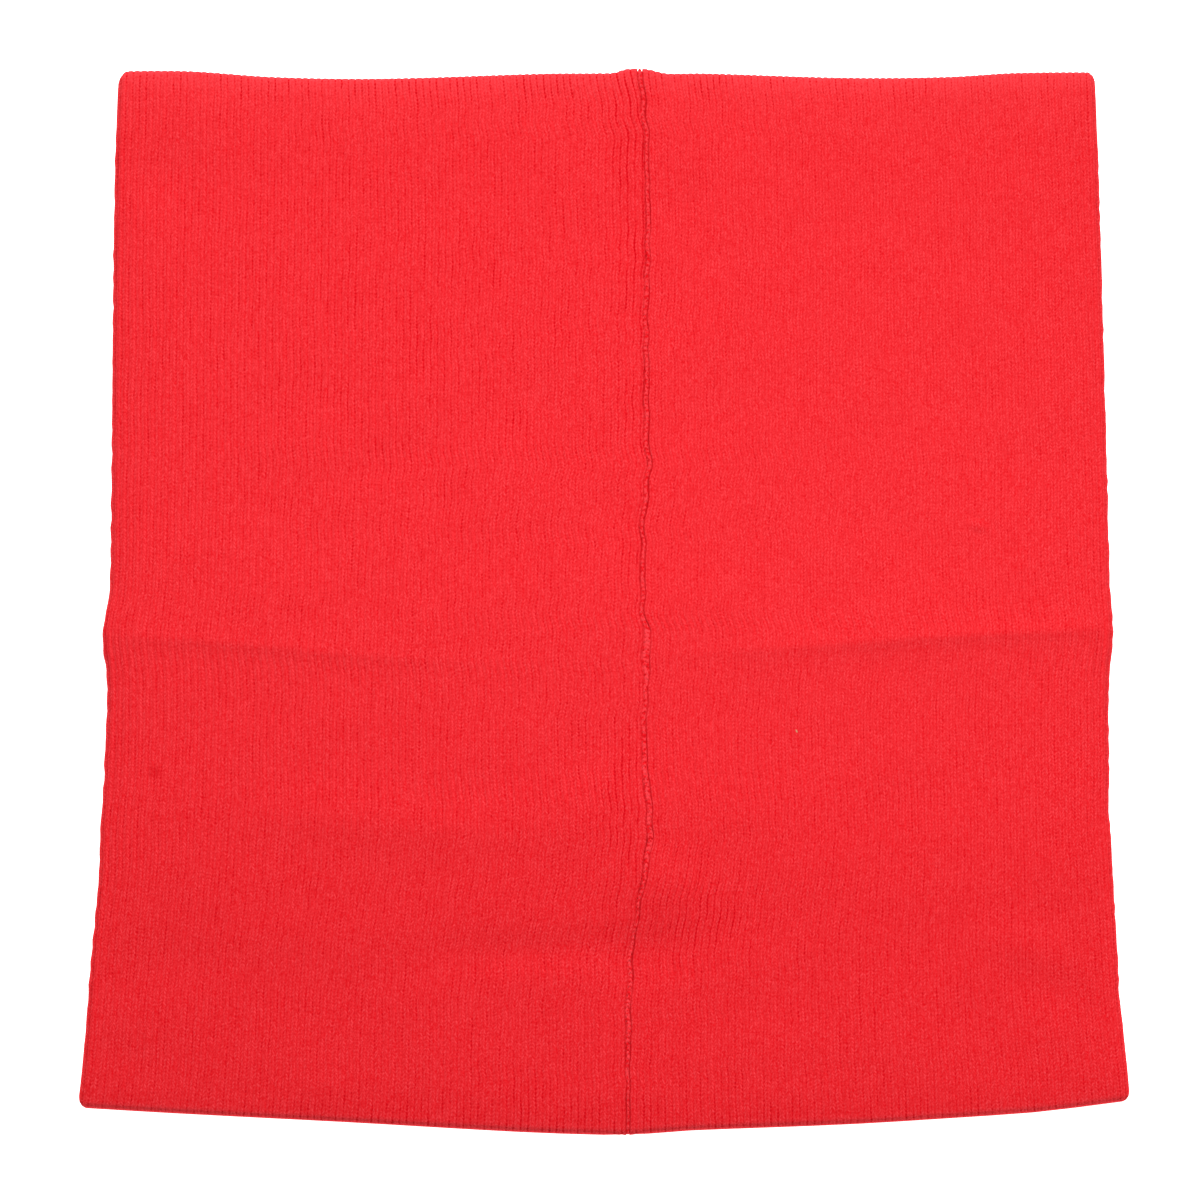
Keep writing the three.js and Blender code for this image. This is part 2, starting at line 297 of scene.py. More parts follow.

# Linear colours. The first two: the yarn's pale tone with a painted highlight, and its dark tone in
# painted shade; the knit's painted light and shade and its random mottle blend between them.
KNIT_PALE_TONE_AND_HIGHLIGHT = (0.815, 0.047, 0.058, 1)
KNIT_DARK_TONE_AND_SHADE = (0.69, 0.005, 0.010, 1)
# Painted shade in the grooves between ribs.
KNIT_GROOVE_PAINTED_SHADE = (0.61, 0.003, 0.009, 1)
# Deeper painted shade in strong grooves, beside the chain and at its borders; also the smudge's
# stain.
KNIT_DEEP_PAINTED_SHADE_AND_SMUDGE = (0.56, 0.001, 0.006, 1)
LINT_COLOUR = (0.55, 0.24, 0.14, 1)
TABLE_LIGHT = (0.96, 0.96, 0.96, 1)
TABLE_DARK = (0.93, 0.93, 0.93, 1)
TABLE_GLOW = 1.3


# ---- reading the tables ----
def read(rows, key, at, column):
    """A smooth value of one column at each place along the key column: a cubic between two rows."""
    places, values = rows[key], rows[column]
    index = np.arange(len(places))
    after, before = np.minimum(index + 1, index[-1]), np.maximum(index - 1, 0)
    slope = (values[after] - values[before]) / (places[after] - places[before])
    k = np.clip(np.searchsorted(places, at, side="right") - 1, 0, len(places) - 2)
    run = places[k + 1] - places[k]
    t = np.clip((at - places[k]) / run, 0, 1)
    ease = t * t * (3 - 2 * t)
    leave = t * (1 - t) ** 2 * run * slope[k]
    arrive = t * t * (t - 1) * run * slope[k + 1]
    return values[k] + (values[k + 1] - values[k]) * ease + leave + arrive


def bells(rows, x, y, column):
    """The sum of a table's bells at each place."""
    total = np.zeros_like(x)
    for i, peak in enumerate(rows[column]):
        turn = math.radians(rows["turn"][i])
        dx, dy = x - rows["x"][i], y - rows["y"][i]
        across = (dx * math.cos(turn) + dy * math.sin(turn)) / rows["wide"][i]
        along = (-dx * math.sin(turn) + dy * math.cos(turn)) / rows["long"][i]
        total += peak * np.exp(-(across**2) - along**2)
    return total


def waves(x, y, reach, seed, count=10):
    """A soft uneven field between about -1 and 1, from waves about as long as reach."""
    draw = random.Random(seed)
    total = np.zeros_like(x)
    for _ in range(count):
        heading = draw.uniform(0, 2 * math.pi)
        pitch = 2 * math.pi / (reach * draw.uniform(0.7, 1.6))
        start = draw.uniform(0, 2 * math.pi)
        total += np.sin(pitch * (x * math.cos(heading) + y * math.sin(heading)) + start)
    return total / math.sqrt(count)


def waves_along(along, reach, seed):
    """The same field where it changes only from hem to hem."""
    return waves(np.zeros_like(along), LENGTH * along, reach, seed)


# ---- the tube's form ----
def seam_line(along):
    """The x of the linked seam, which wanders a little from stitch to stitch."""
    return read(SEAM, "along", along, "place") + SEAM_WANDER * waves_along(along, *SEAM_WAVES)


def seam_groove(along, side):
    """Depth of the groove on one side of the chain, from 0 to 1: it opens and closes unevenly."""
    groove = read(SEAM, "along", along, "left" if side < 0 else "right")
    reach, seed = GROOVE_WAVES
    return np.clip(groove * (1 + GROOVE_UNEVEN * waves_along(along, reach, seed + side)), 0, 1)


def across_at(along, x):
    """-1 at the left fold, 0 at the seam, 1 at the right fold."""
    left, right = (read(OUTLINE, "along", along, c) for c in ("left", "right"))
    seam = seam_line(along)
    side = np.where(x < seam, seam - left, right - seam)
    return np.clip((x - seam) / side, -1, 1)


def corner_setback(radius, inward):
    """How far a hem is worn back at its end, by the distance inward from the side fold."""
    short = np.clip(radius - inward, 0, radius)
    return radius - np.sqrt(radius**2 - short**2)


def hem_to_hem(along, x):
    """The y of a point: the rows of stitches follow the bow of the hems."""
    across = across_at(along, x)
    left, right = (read(OUTLINE, "along", along, c) for c in ("left", "right"))
    inward = np.where(across < 0, x - left, right - x)
    worn = {
        end: np.where(
            across < 0,
            corner_setback(CORNERS["left"][end], inward),
            corner_setback(CORNERS["right"][end], inward),
        )
        for end in ("bottom", "top")
    }
    bottom = -LENGTH / 2 + read(HEMS, "across", across, "bottom")
    bottom += worn["bottom"] * (1 - along) ** CORNER_SHARE
    top = LENGTH / 2 + read(HEMS, "across", across, "top")
    top -= worn["top"] * along**CORNER_SHARE
    return bottom + (top - bottom) * along


def lift_at(along, x):
    """How far the upper layer stands off the lower one."""
    lift = read(OUTLINE, "along", along, "lift")
    return lift * (1 - np.abs(across_at(along, x)) ** LIFT_SHARE)


def off_the_hems(along, rise, start=0.0):
    """0 at both hems and 1 over most of the length."""
    return np.clip(rise * along * (1 - along) - start, 0, 1)


def soft_relief(along, x, y):
    """Swells, dents and the storage crease of the upper layer, dying out at its borders."""
    ridge = y - read(CREASE, "x", x, "y")
    reach = np.where(ridge > 0, CREASE_REACH["above"], CREASE_REACH["below"])
    away = np.sqrt(ridge**2 + CREASE_ROUND**2) - CREASE_ROUND
    crease = read(CREASE, "x", x, "rise") * np.exp(-away / reach)
    inside = 1 - np.abs(across_at(along, x)) ** RELIEF_SHARE
    inside *= off_the_hems(along, RELIEF_RISE)
    swell = RELIEF_SWELL * waves(x, y, *RELIEF_WAVES)
    return (crease + bells(SWELLS, x, y, "rise") + swell) * inside


def fold_middle(along, side):
    """The x about which a side fold turns."""
    if side < 0:
        return read(OUTLINE, "along", along, "left") + FOLD_REACH
    return read(OUTLINE, "along", along, "right") - FOLD_REACH


# ---- the grid of points: columns go round the tube, rows go round the wall ----
COLUMNS = [
    ("left ribs", RIBS["left"], RIBS["left"] * POINTS_PER_RIB),
    ("left fold", FOLD_RIBS, FOLD_POINTS),
    ("underside", UNDERSIDE_RIBS, UNDERSIDE_POINTS),
    ("right fold", FOLD_RIBS, FOLD_POINTS),
    ("right ribs", RIBS["right"], RIBS["right"] * POINTS_PER_RIB),
]
UNDERSIDE = 2
SIDES = {-1: (0, 1), 1: (4, 3)}  # zones of the ribs and of the fold, on the left and the right


def column_places():
    """For each column of points: its zone, its share of the way out from the seam or down a fold,
    and its rib count round the tube."""
    zones, shares, ribs = [0], [0.0], [0.0]
    passed = 0.0
    for zone, (_, rib_count, stretches) in enumerate(COLUMNS):
        for i in range(1, stretches + 1):
            share = i / stretches
            zones.append(zone)
            shares.append(1 - share if zone > UNDERSIDE else share)
            ribs.append(passed + rib_count * share)
        passed += rib_count
    return np.array(zones), np.array(shares), np.array(ribs)


# Steps between the rows of points on the ribbed face, by the distance from the bottom hem.
ROW_STEPS = table(
    "place step",
    (0.0, 0.7),
    (8.0, 1.5),
    (25.0, 2.1),
    (66.0, 1.7),
    (90.0, 2.1),
    (112.0, 1.9),
    (121.0, 0.9),
    (133.0, 0.9),
    (142.0, 1.9),
    (262.0, 2.1),
    (277.0, 1.4),
    (285.0, 0.7),
)
NOSE_POINTS = 5
INSIDE_ROWS = 22


def ribbed_rows():
    """Shares of the length at which the rows of the ribbed face lie."""
    places = [0.0]
    while places[-1] < LENGTH:
        here = np.array(places[-1])
        places.append(places[-1] + float(read(ROW_STEPS, "place", here, "step")))
    return np.array(places) / places[-1]


def row_places():
    """For each row round the wall: its share of the length and its share through the wall."""
    ribbed = ribbed_rows()
    plain = np.linspace(1, 0, INSIDE_ROWS)
    turn = np.linspace(0, math.pi, NOSE_POINTS + 2)[1:-1]
    radius = WALL / 2
    nose = radius * (1 - np.sin(turn)) / LENGTH
    start = radius / LENGTH
    outer = start + ribbed * (1 - 2 * start)
    inner = start + plain * (1 - 2 * start)
    through = (1 - np.cos(turn)) / 2
    along = np.concatenate([outer, 1 - nose, inner, nose[::-1], outer[:1]])
    depth = np.concatenate(
        [np.zeros(len(outer)), through, np.ones(len(inner)), through[::-1], [0.0]]
    )
    return along, depth


def rib_profile(ribs):
    """Depth of the ribbed face below its crests: grooves between ribs and a faint dip in each."""
    aside = np.abs(ribs - np.round(ribs))
    groove = np.exp(-((aside / RIB_SECTION["groove"]) ** 2))
    dip = np.exp(-(((0.5 - aside) / RIB_SECTION["dip"]) ** 2))
    return groove + RIB_SECTION["dip depth"] * dip


def seam_edge(along, side):
    """The x of the panel's edge on one side of the chain."""
    width = read(SEAM, "along", along, "width")
    return seam_line(along) + side * (width / 2 + SEAM_CLEARANCE)


def ribs_from_seam(along, side, ribs):
    """Count of ribs from the seam's edge, less those that are drawn in there."""
    if side > 0:
        return ribs
    drawn = read(DRAWN_IN, "along", along, "ribs")
    # the edge itself stays at the chain
    spread = np.where(drawn < 0, 1 - np.exp(-ribs / DRAWN_START), 1)
    return ribs - drawn * spread * np.exp(-ribs / DRAWN_REACH)


def upper_layer(along, side, share):
    """x of a point of the upper layer, and how far it dives into the seam beside the chain."""
    count = RIBS["left" if side < 0 else "right"]
    ribs = ribs_from_seam(along, side, share * count)
    edge = seam_edge(along, side)
    pitch = (fold_middle(along, side) - edge) / count
    x = edge + pitch * np.maximum(ribs, 0)
    drawn = DRAWN_DIVE * np.abs(pitch) * np.maximum(-ribs, 0)
    return x, drawn + seam_tuck(along, x, side)


def fall_at_hems(along):
    """How far the ribbed face has fallen toward the hems."""
    fall = read(HEM_FALL, "setback", LENGTH * along, "bottom")
    return fall + read(HEM_FALL, "setback", LENGTH * (1 - along), "top")


class Face:
    """One face of the wall: x, z and the way it faces, filled in zone by zone."""

    def __init__(self, along):
        self.x, self.z, self.out_x, self.out_z = (np.zeros_like(along) for _ in range(4))

    def put(self, here, x, z, out_x=0.0, out_z=0.0):
        self.x[here], self.z[here] = x, z
        self.out_x[here], self.out_z[here] = out_x, out_z


def fold_ripple(along, side):
    """How far a side fold stands out or in: it ripples along its length, but not at the corners."""
    reach, seed = FOLD_WAVES
    ripple = FOLD_RIPPLE * waves_along(along, reach, seed + side)
    return ripple * off_the_hems(along, RIPPLE_RISE, RIPPLE_START)


def ribbed_face(along, zone, share):
    """The outer face of the wall."""
    face = Face(along)
    fall = fall_at_hems(along)
    for side, (ribs_zone, fold_zone) in SIDES.items():
        here = zone == ribs_zone
        x, dive = upper_layer(along[here], side, share[here])
        height = PRESSED + lift_at(along[here], x) - fall[here]
        face.put(here, x, height - dive, 0.0, 1.0)
        here = zone == fold_zone
        turn = math.pi * share[here]
        middle = fold_middle(along[here], side)
        top = PRESSED + lift_at(along[here], middle) - fall[here]
        x = middle + side * (FOLD_REACH + fold_ripple(along[here], side)) * np.sin(turn)
        face.put(here, x, top / 2 * (1 + np.cos(turn)), side * np.sin(turn), np.cos(turn))
    here = zone == UNDERSIDE
    face.put(here, underside_x(along[here], share[here]), 0.0)
    return face


def plain_face(along, zone, share):
    """The plain inner face of the wall."""
    face = Face(along)
    for side, (ribs_zone, fold_zone) in SIDES.items():
        here = zone == ribs_zone
        x, _ = upper_layer(along[here], side, share[here])
        face.put(here, x, PRESSED - WALL + lift_at(along[here], x))
        here = zone == fold_zone
        turn = math.pi * share[here]
        middle = fold_middle(along[here], side)
        ceiling = PRESSED - WALL + lift_at(along[here], middle)
        x = middle + side * LAYER_GAP / 2 * np.sin(turn)
        face.put(here, x, (ceiling + WALL) / 2 + (ceiling - WALL) / 2 * np.cos(turn))
    here = zone == UNDERSIDE
    face.put(here, underside_x(along[here], share[here]), WALL)
    return face


def underside_x(along, share):
    """The x of a point of the lower layer, by its share of the way from left to right."""
    left, right = fold_middle(along, -1), fold_middle(along, 1)
    return left + (right - left) * share


def seam_tuck(along, x, side):
    """How far the panel's edge dives beside the chain: a soft valley with a rounded lip."""
    away = side * (x - seam_edge(along, side))
    valley = SEAM_TUCK * np.clip(1 - away / SEAM_TUCK_REACH, 0, 1) ** 2
    return valley + lip_depth(along, side) * on_lip(along, x, side)


def on_lip(along, x, side):
    """1 at the panel's edge beside the chain, fading to 0 over the lip's reach."""
    away = side * (x - seam_edge(along, side))
    return np.exp(-((away / SEAM_LIP["reach"]) ** 2))


def lip_depth(along, side):
    """How far the panel's edge turns down into the groove beside the chain."""
    return SEAM_LIP["least"] + (SEAM_LIP["most"] - SEAM_LIP["least"]) * seam_groove(along, side)


def groove_strength(along, zone, x, y):
    """How much the groove between two ribs stands out, about 1: most beside the chain. It sets the
    groove's depth and the strength of its painted shade.
    """
    uneven = STRENGTH_UNEVEN * waves(x, y, *STRENGTH_WAVES)
    gain = np.clip(1 + bells(RIB_STRENGTH, x, y, "gain") + uneven, *STRENGTH_RANGE)
    for side, (ribs_zone, _) in SIDES.items():
        lip = LIP_STRENGTH["least"] + LIP_STRENGTH["gain"] * seam_groove(along, side)
        gain += (lip - gain) * on_lip(along, x, side) * (zone == ribs_zone)
    return gain


def wall_points():
    """All points of the wall, rows by columns, in millimetres, with their place in the knit."""
    zones, shares, ribs = column_places()
    along_rows, depth_rows = row_places()
    size = (len(along_rows), len(zones))
    zone, share, rib = (np.broadcast_to(a, size).ravel() for a in (zones, shares, ribs))
    along, depth = (np.repeat(a, len(zones)) for a in (along_rows, depth_rows))
    outer, inner = ribbed_face(along, zone, share), plain_face(along, zone, share)
    y = hem_to_hem(along, outer.x)
    upper = np.isin(zone, [ribs_zone for ribs_zone, _ in SIDES.values()])
    relief = np.where(upper, soft_relief(along, outer.x, y), 0)
    strength = groove_strength(along, zone, outer.x, y)
    rib_drop = RIB_DEPTH * np.minimum(strength, DEEPEST_RIB) * rib_profile(rib)
    rib_drop *= np.clip(FOLD_FADE + outer.out_z, 0, 1)
    for side, (ribs_zone, _) in SIDES.items():
        rib_drop *= 1 - on_lip(along, outer.x, side) * (zone == ribs_zone)
    sway = np.where(upper, RIB_SWAY * waves(outer.x, y, *SWAY_WAVES), 0)
    sway *= np.clip(np.abs(outer.x - seam_line(along)) / RIB_SWAY_REACH, 0, 1)
    x = outer.x + sway - rib_drop * outer.out_x
    z = outer.z + relief - rib_drop * outer.out_z
    inner_y = hem_to_hem(along, inner.x)
    points = np.stack(
        [
            x + (inner.x - x) * depth,
            y + (inner_y - y) * depth,
            z + (inner.z + relief - z) * depth,
        ],
        axis=1,
    )
    # round the hems the grooves between ribs run on
    points[:, 1] -= np.sign(along - 0.5) * np.sin(math.pi * depth) * HEM_GROOVE * rib_drop
    return points, {"ribs": rib, "courses": courses_along(along, depth), "strength": strength}, size


def place_in_frame(points):
    """From the tube's own millimetres to the frame's metres."""
    shift_x = (panel_low.x + panel_high.x) / 2 / MM
    shift_x -= (OUTLINE["left"].min() + OUTLINE["right"].max()) / 2
    shift_y = (chain_low.y + chain_high.y) / 2 / MM
    return (points + np.array([shift_x, shift_y, 0])) * MM


def new_piece(name, mesh, material):
    """An object at the origin that shows a mesh in one material."""
    piece = bpy.data.objects.new(name, mesh)
    bpy.context.collection.objects.link(piece)
    mesh.materials.append(material)
    return piece


def smooth(mesh):
    mesh.polygons.foreach_set("use_smooth", np.ones(len(mesh.polygons), dtype=bool))


def make_knit_tube(material):
    """The rib-knit wall: a grid whose rows are bent round the wall and whose columns go round
    the tube, closed along its last row and at both edges of the seam."""
    points, knit, (rows, columns) = wall_points()
    bm = bmesh.new()
    bmesh.ops.create_grid(bm, x_segments=columns - 1, y_segments=rows - 1, size=0.5)
    mesh = bpy.data.meshes.new("knit_tube")
    bm.to_mesh(mesh)
    bm.free()
    flat = np.zeros(len(mesh.vertices) * 3)
    mesh.vertices.foreach_get("co", flat)
    flat = flat.reshape(-1, 3)
    column = np.rint((flat[:, 0] + 0.5) * (columns - 1)).astype(int)
    row = np.rint((flat[:, 1] + 0.5) * (rows - 1)).astype(int)
    order = row * columns + column
    mesh.vertices.foreach_set("co", place_in_frame(points[order]).ravel())
    lay_knit_map(mesh, knit["ribs"][order], knit["courses"][order])
    strength = mesh.attributes.new("groove_strength", "FLOAT", "POINT")
    strength.data.foreach_set("value", knit["strength"][order])
    close_wall(mesh)
    smooth(mesh)
    return new_piece("knit_tube", mesh, material)


def courses_along(along, depth):
    """Count of stitch rows at each point, running on round the hems and back along the inside."""
    whole = LENGTH / COURSE
    round_hem = HEM_COURSES * depth
    onward = whole * along * (1 - depth) + (2 * whole - whole * along) * depth + round_hem
    bottom_hem = (along < 0.5) & (depth > 0) & (depth < 1)
    return np.where(bottom_hem, whole * along - round_hem, onward)


def lay_knit_map(mesh, ribs, courses):
    """The knit's own map: ribs one way and stitch rows the other."""
    layer = mesh.uv_layers.new(name="knit")
    corners = np.zeros(len(mesh.loops), dtype=int)
    mesh.loops.foreach_get("vertex_index", corners)
    layer.data.foreach_set("uv", np.stack([ribs[corners], courses[corners]], axis=1).ravel())


def close_wall(mesh):
    """Joins the last row to the first, and closes the two edges beside the chain."""
    bm = bmesh.new()
    bm.from_mesh(mesh)
    bmesh.ops.remove_doubles(bm, verts=bm.verts, dist=1e-6)
    open_edges = [edge for edge in bm.edges if edge.is_boundary]
    filled = bmesh.ops.holes_fill(bm, edges=open_edges, sides=0)["faces"]
    bmesh.ops.triangulate(bm, faces=filled)
    bmesh.ops.recalc_face_normals(bm, faces=bm.faces)
    bm.to_mesh(mesh)
    bm.free()


# ---- the linking chain ----
CHAIN_COURSE = 1.1  # from one linked loop to the next
CHAIN_SETBACK = {"bottom": 0.9, "top": 0.8}  # least distance from each hem to a loop
CHAIN_END = {"drop": 0.5, "reach": 0.7}  # how deep the chain's ends sink, and over what distance
# The core under the loops, round its cross-section from one low corner back to it: how far it
# lies below the crown, and how much of the depth of the groove beside it is added to that.
CORE_PROFILE = table(
    "aside drop groove",
    (-1.0, 1.6, 0.0),
    (-1.0, 0.04, 1.0),
    (-0.7, 0.1, 0.4),
    (-0.35, 0.1, 0.05),
    (0.0, 0.08, 0.0),
    (0.35, 0.1, 0.05),
    (0.7, 0.1, 0.4),
    (1.0, 0.04, 1.0),
    (1.0, 1.6, 0.0),
    (-1.0, 1.6, 0.0),
)
CORE_SPARE = 0.16  # how far it sinks into the knit on both sides
CORE_SHARP = 30  # degrees past which an edge of the core stays sharp
# One leg of a loop: its size, its lean in degrees, its tilt in radians, and how far it lies from the
# middle as a share of the chain's half width. Below it, how far the legs differ from one another.
STITCH = {"wide": 0.46, "long": 1.7, "deep": 0.4, "lean": 14.0, "tilt": 0.12, "aside": 0.44}
STITCH_UNEVEN = {"lean": 8, "along": 0.1, "deep": 0.06}
STITCH_SEED = 11
# Painted shade darkens the chain toward its grooves: from which share of its half width, over what
# further share, and how dark at most.
BORDER_SHADE = {"start": 0.5, "run": 0.4, "dark": 0.7}


def chain_rows():
    """The chain at each of its loops: middle of its crown, its half width, its heading and the
    depth of the grooves beside it."""
    first, last = CHAIN_SETBACK["bottom"], LENGTH - CHAIN_SETBACK["top"]
    along = np.arange(first, last, CHAIN_COURSE) / LENGTH
    x = seam_line(along)
    y = hem_to_hem(along, x)
    z = PRESSED + lift_at(along, x) - fall_at_hems(along) + soft_relief(along, x, y)
    z -= SEAM_TUCK
    ends = np.minimum(along, 1 - along) * LENGTH
    z -= CHAIN_END["drop"] * np.exp(-((ends / CHAIN_END["reach"]) ** 2))
    return {
        "middle": place_in_frame(np.stack([x, y, z], axis=1)),
        "half": read(SEAM, "along", along, "width") / 2 * MM,
        "heading": np.arctan2(-np.gradient(x), np.gradient(y)),
        "grooves": {-1: lip_depth(along, -1) * MM, 1: lip_depth(along, 1) * MM},
    }


def one_stitch():
    """One leg of a linked loop: a small round-ended lump of yarn."""
    bm = bmesh.new()
    size = [STITCH[side] / 2 * MM for side in ("wide", "long", "deep")]
    bmesh.ops.create_uvsphere(
        bm, u_segments=8, v_segments=5, radius=1, matrix=Matrix.Diagonal((*size, 1))
    )
    mesh = bpy.data.meshes.new("stitch")
    bm.to_mesh(mesh)
    bm.free()
    return mesh


def lay_core(bm, chain):
    """The yarn under the loops: a closed strip as wide as the channel, bent along it."""
    rows, sides = len(chain["half"]), len(CORE_PROFILE["aside"])
    made = bmesh.ops.create_grid(bm, x_segments=sides - 1, y_segments=rows - 1, size=0.5)
    for vert in made["verts"]:
        k = round((vert.co.x + 0.5) * (sides - 1))
        row = round((vert.co.y + 0.5) * (rows - 1))
        aside, drop, share = (CORE_PROFILE[c][k] for c in ("aside", "drop", "groove"))
        groove = chain["grooves"][-1 if aside < 0 else 1][row]
        reach = aside * (chain["half"][row] + CORE_SPARE * MM)
        vert.co = Vector(chain["middle"][row]) + Vector((reach, 0, -drop * MM - share * groove))
    bmesh.ops.remove_doubles(bm, verts=bm.verts, dist=1e-7)
    ends = [edge for edge in bm.edges if edge.is_boundary]
    bmesh.ops.holes_fill(bm, edges=ends, sides=0)
    bmesh.ops.recalc_face_normals(bm, faces=bm.faces)
    for edge in bm.edges:
        edge.smooth = edge.calc_face_angle(0) < math.radians(CORE_SHARP)


def stitch_offset(draw, what):
    """How far one leg differs from the others in one of its measures."""
    return draw.uniform(-STITCH_UNEVEN[what], STITCH_UNEVEN[what])


def make_seam_chain(material):
    """Linked loops down the seam: two leaning legs to each loop, on a core."""
    draw = random.Random(STITCH_SEED)
    stitch = one_stitch()
    bm = bmesh.new()
    chain = chain_rows()
    lay_core(bm, chain)
    for middle, half, heading in zip(chain["middle"], chain["half"], chain["heading"]):
        for side in (-1, 1):
            lean = heading + side * math.radians(STITCH["lean"] + stitch_offset(draw, "lean"))
            aside = side * STITCH["aside"] * half
            place = Vector(middle) + Vector((aside, stitch_offset(draw, "along") * MM, 0))
            place.z -= (STITCH["deep"] / 2 + stitch_offset(draw, "deep")) * MM
            leg = Euler((STITCH["tilt"], 0, lean)).to_matrix().to_4x4()
            leg @= Matrix.Diagonal((half / (STITCH["wide"] * MM), 1, 1, 1))
            leg = Matrix.Translation(place) @ leg
            stitch.transform(leg)
            bm.from_mesh(stitch)
            stitch.transform(leg.inverted())
    mesh = bpy.data.meshes.new("seam_stitches")
    bm.to_mesh(mesh)
    bm.free()
    bpy.data.meshes.remove(stitch)
    smooth(mesh)
    mark_border_shade(mesh, chain)
    return new_piece("seam_stitches", mesh, material)


def mark_border_shade(mesh, chain):
    """How much painted shade the finish lays on: 0 along the middle of the chain, up to 1 in the
    grooves at its borders.
    """
    points = np.zeros(len(mesh.vertices) * 3)
    mesh.vertices.foreach_get("co", points)
    x, y, _ = points.reshape(-1, 3).T
    rows = chain["middle"][:, 1]
    aside = (x - np.interp(y, rows, chain["middle"][:, 0])) / np.interp(y, rows, chain["half"])
    left, right = (np.interp(y, rows, chain["grooves"][side]) for side in (-1, 1))
    share = np.where(aside < 0, left, right) / (SEAM_LIP["most"] * MM)
    near = np.clip((np.abs(aside) - BORDER_SHADE["start"]) / BORDER_SHADE["run"], 0, 1)
    border = mesh.attributes.new("border", "FLOAT", "POINT")
    border.data.foreach_set("value", BORDER_SHADE["dark"] * share * near)


# ---- materials ----
YARN_SURFACE = (0.95, 0.03)  # roughness and sheen
# Shifts on the knit's own map: patches to a rib, patches to a course, and the reach.
RIB_WANDER = (0.5, 0.12, 0.12)
RIB_JITTER = (1.7, 0.9, 0.12)
COURSE_HOP = (0.9, 0.7, 0.45)
# Each leg bears a painted highlight, scaled by its random tone plus the least tone.
LEG = {"lean": -2.2, "least tone": 0.2}  # courses that a leg leans over a rib, and its darkest tone
# Painted shade in the grooves between ribs: its half width, and its fainter and darker patches.
GROOVE_HALF = 0.19  # half width of a dark groove, in ribs
GROOVE_PATCHES = (0.8, 0.12)  # in which the grooves are fainter or darker, to a rib and to a course
# Changes of shade between two courses, counted from the bottom hem, all painted light and shade:
# the top hem painted paler, the lower half painted darker and the bottom hem's nose painted lighter.
COURSE_PAINTED_LIGHT = (
    ("SUBTRACT", 262.0, 285.0, 0.12),
    ("ADD", 150.0, 20.0, 0.07),
    ("SUBTRACT", 3.0, -0.5, 0.4),
    ("SUBTRACT", 277.0, 286.0, 0.35),
)
# Noise in the yarn, to a metre.
MOTTLE = (2200.0, 0.72)  # and its reach
# Grain of the patches in the deep painted shade beside the chain.
SEAM_SHADE_GRAIN = 700.0
FIBRE_GRAIN = (3200.0, 3.0, 0.6)  # with its detail and roughness
CHAIN_MOTTLE = (1300.0, 3.0)  # with its detail
CHAIN_BUMP = 0.05


class Finish:
    """Builds one material's nodes. Each method gives back an output socket."""

    def __init__(self, name, roughness, sheen):
        self.material = bpy.data.materials.new(name)
        self.material.use_nodes = True
        self.tree = self.material.node_tree
        self.shader = self.tree.nodes["Principled BSDF"]
        self.shader.inputs["Roughness"].default_value = roughness
        self.shader.inputs["Specular IOR Level"].default_value = 0.05
        self.shader.inputs["Sheen Weight"].default_value = sheen
        self.shader.inputs["Sheen Roughness"].default_value = 0.5
        self.shader.inputs["Sheen Tint"].default_value = (1.0, 0.45, 0.45, 1)

    def node(self, kind, inputs=(), **settings):
        made = self.tree.nodes.new("ShaderNode" + kind)
        for name, value in settings.items():
            setattr(made, name, value)
        for name, value in dict(inputs).items():
            self.feed(made.inputs[name], value)
        return made

    def feed(self, socket, value):
        if isinstance(value, bpy.types.NodeSocket):
            self.tree.links.new(value, socket)
        else:
            socket.default_value = value

    def math(self, operation, *values):
        return self.node("Math", enumerate(values), operation=operation).outputs[0]

    def ramp(self, value, low, high, to_low=0.0, to_high=1.0):
        """A smooth step of a value between low and high."""
        inputs = {"Value": value, "From Min": low, "From Max": high}
        inputs |= {"To Min": to_low, "To Max": to_high}
        made = self.node("MapRange", inputs, interpolation_type="SMOOTHSTEP")
        return made.outputs["Result"]

    def noise(self, place, scale, detail=2.0, roughness=0.5):
        inputs = {"Vector": place, "Scale": scale, "Detail": detail, "Roughness": roughness}
        return self.node("TexNoise", inputs).outputs["Fac"]

    def sway(self, place, scale, reach):
        """Noise about 0, at most about reach either way."""
        centred = self.math("SUBTRACT", self.noise(place, scale, 1.0), 0.5)
        return self.math("MULTIPLY", centred, 2 * reach)

    def stretch(self, place, x, y):
        """A pattern's place, with x and y patches to each unit."""
        inputs = {"Vector": place, "Scale": (x, y, 1)}
        return self.node("Mapping", inputs).outputs["Vector"]

    def blend(self, share, first, second):
        made = self.node("Mix", data_type="RGBA")
        self.feed(made.inputs[0], share)
        self.feed(made.inputs[6], first)
        self.feed(made.inputs[7], second)
        return made.outputs[2]

    def wave(self, value, sharpness=1.0):
        """1 at each whole number, 0 half way between."""
        turned = self.math("COSINE", self.math("MULTIPLY", value, 2 * math.pi))
        raised = self.math("MULTIPLY_ADD", turned, 0.5, 0.5)
        return raised if sharpness == 1.0 else self.math("POWER", raised, sharpness)

    def clip(self, value):
        return self.math("MINIMUM", self.math("MAXIMUM", value, 0.0), 1.0)

    def chance(self, first, second):
        """A steady random number for each pair of whole numbers."""
        pair = self.node("CombineXYZ", {"X": first, "Y": second}).outputs["Vector"]
        return self.node("TexWhiteNoise", {"Vector": pair}, noise_dimensions="2D").outputs["Value"]

    def bump(self, height, distance):
        inputs = {"Height": height, "Distance": distance, "Strength": 1.0}
        self.feed(self.shader.inputs["Normal"], self.node("Bump", inputs).outputs["Normal"])


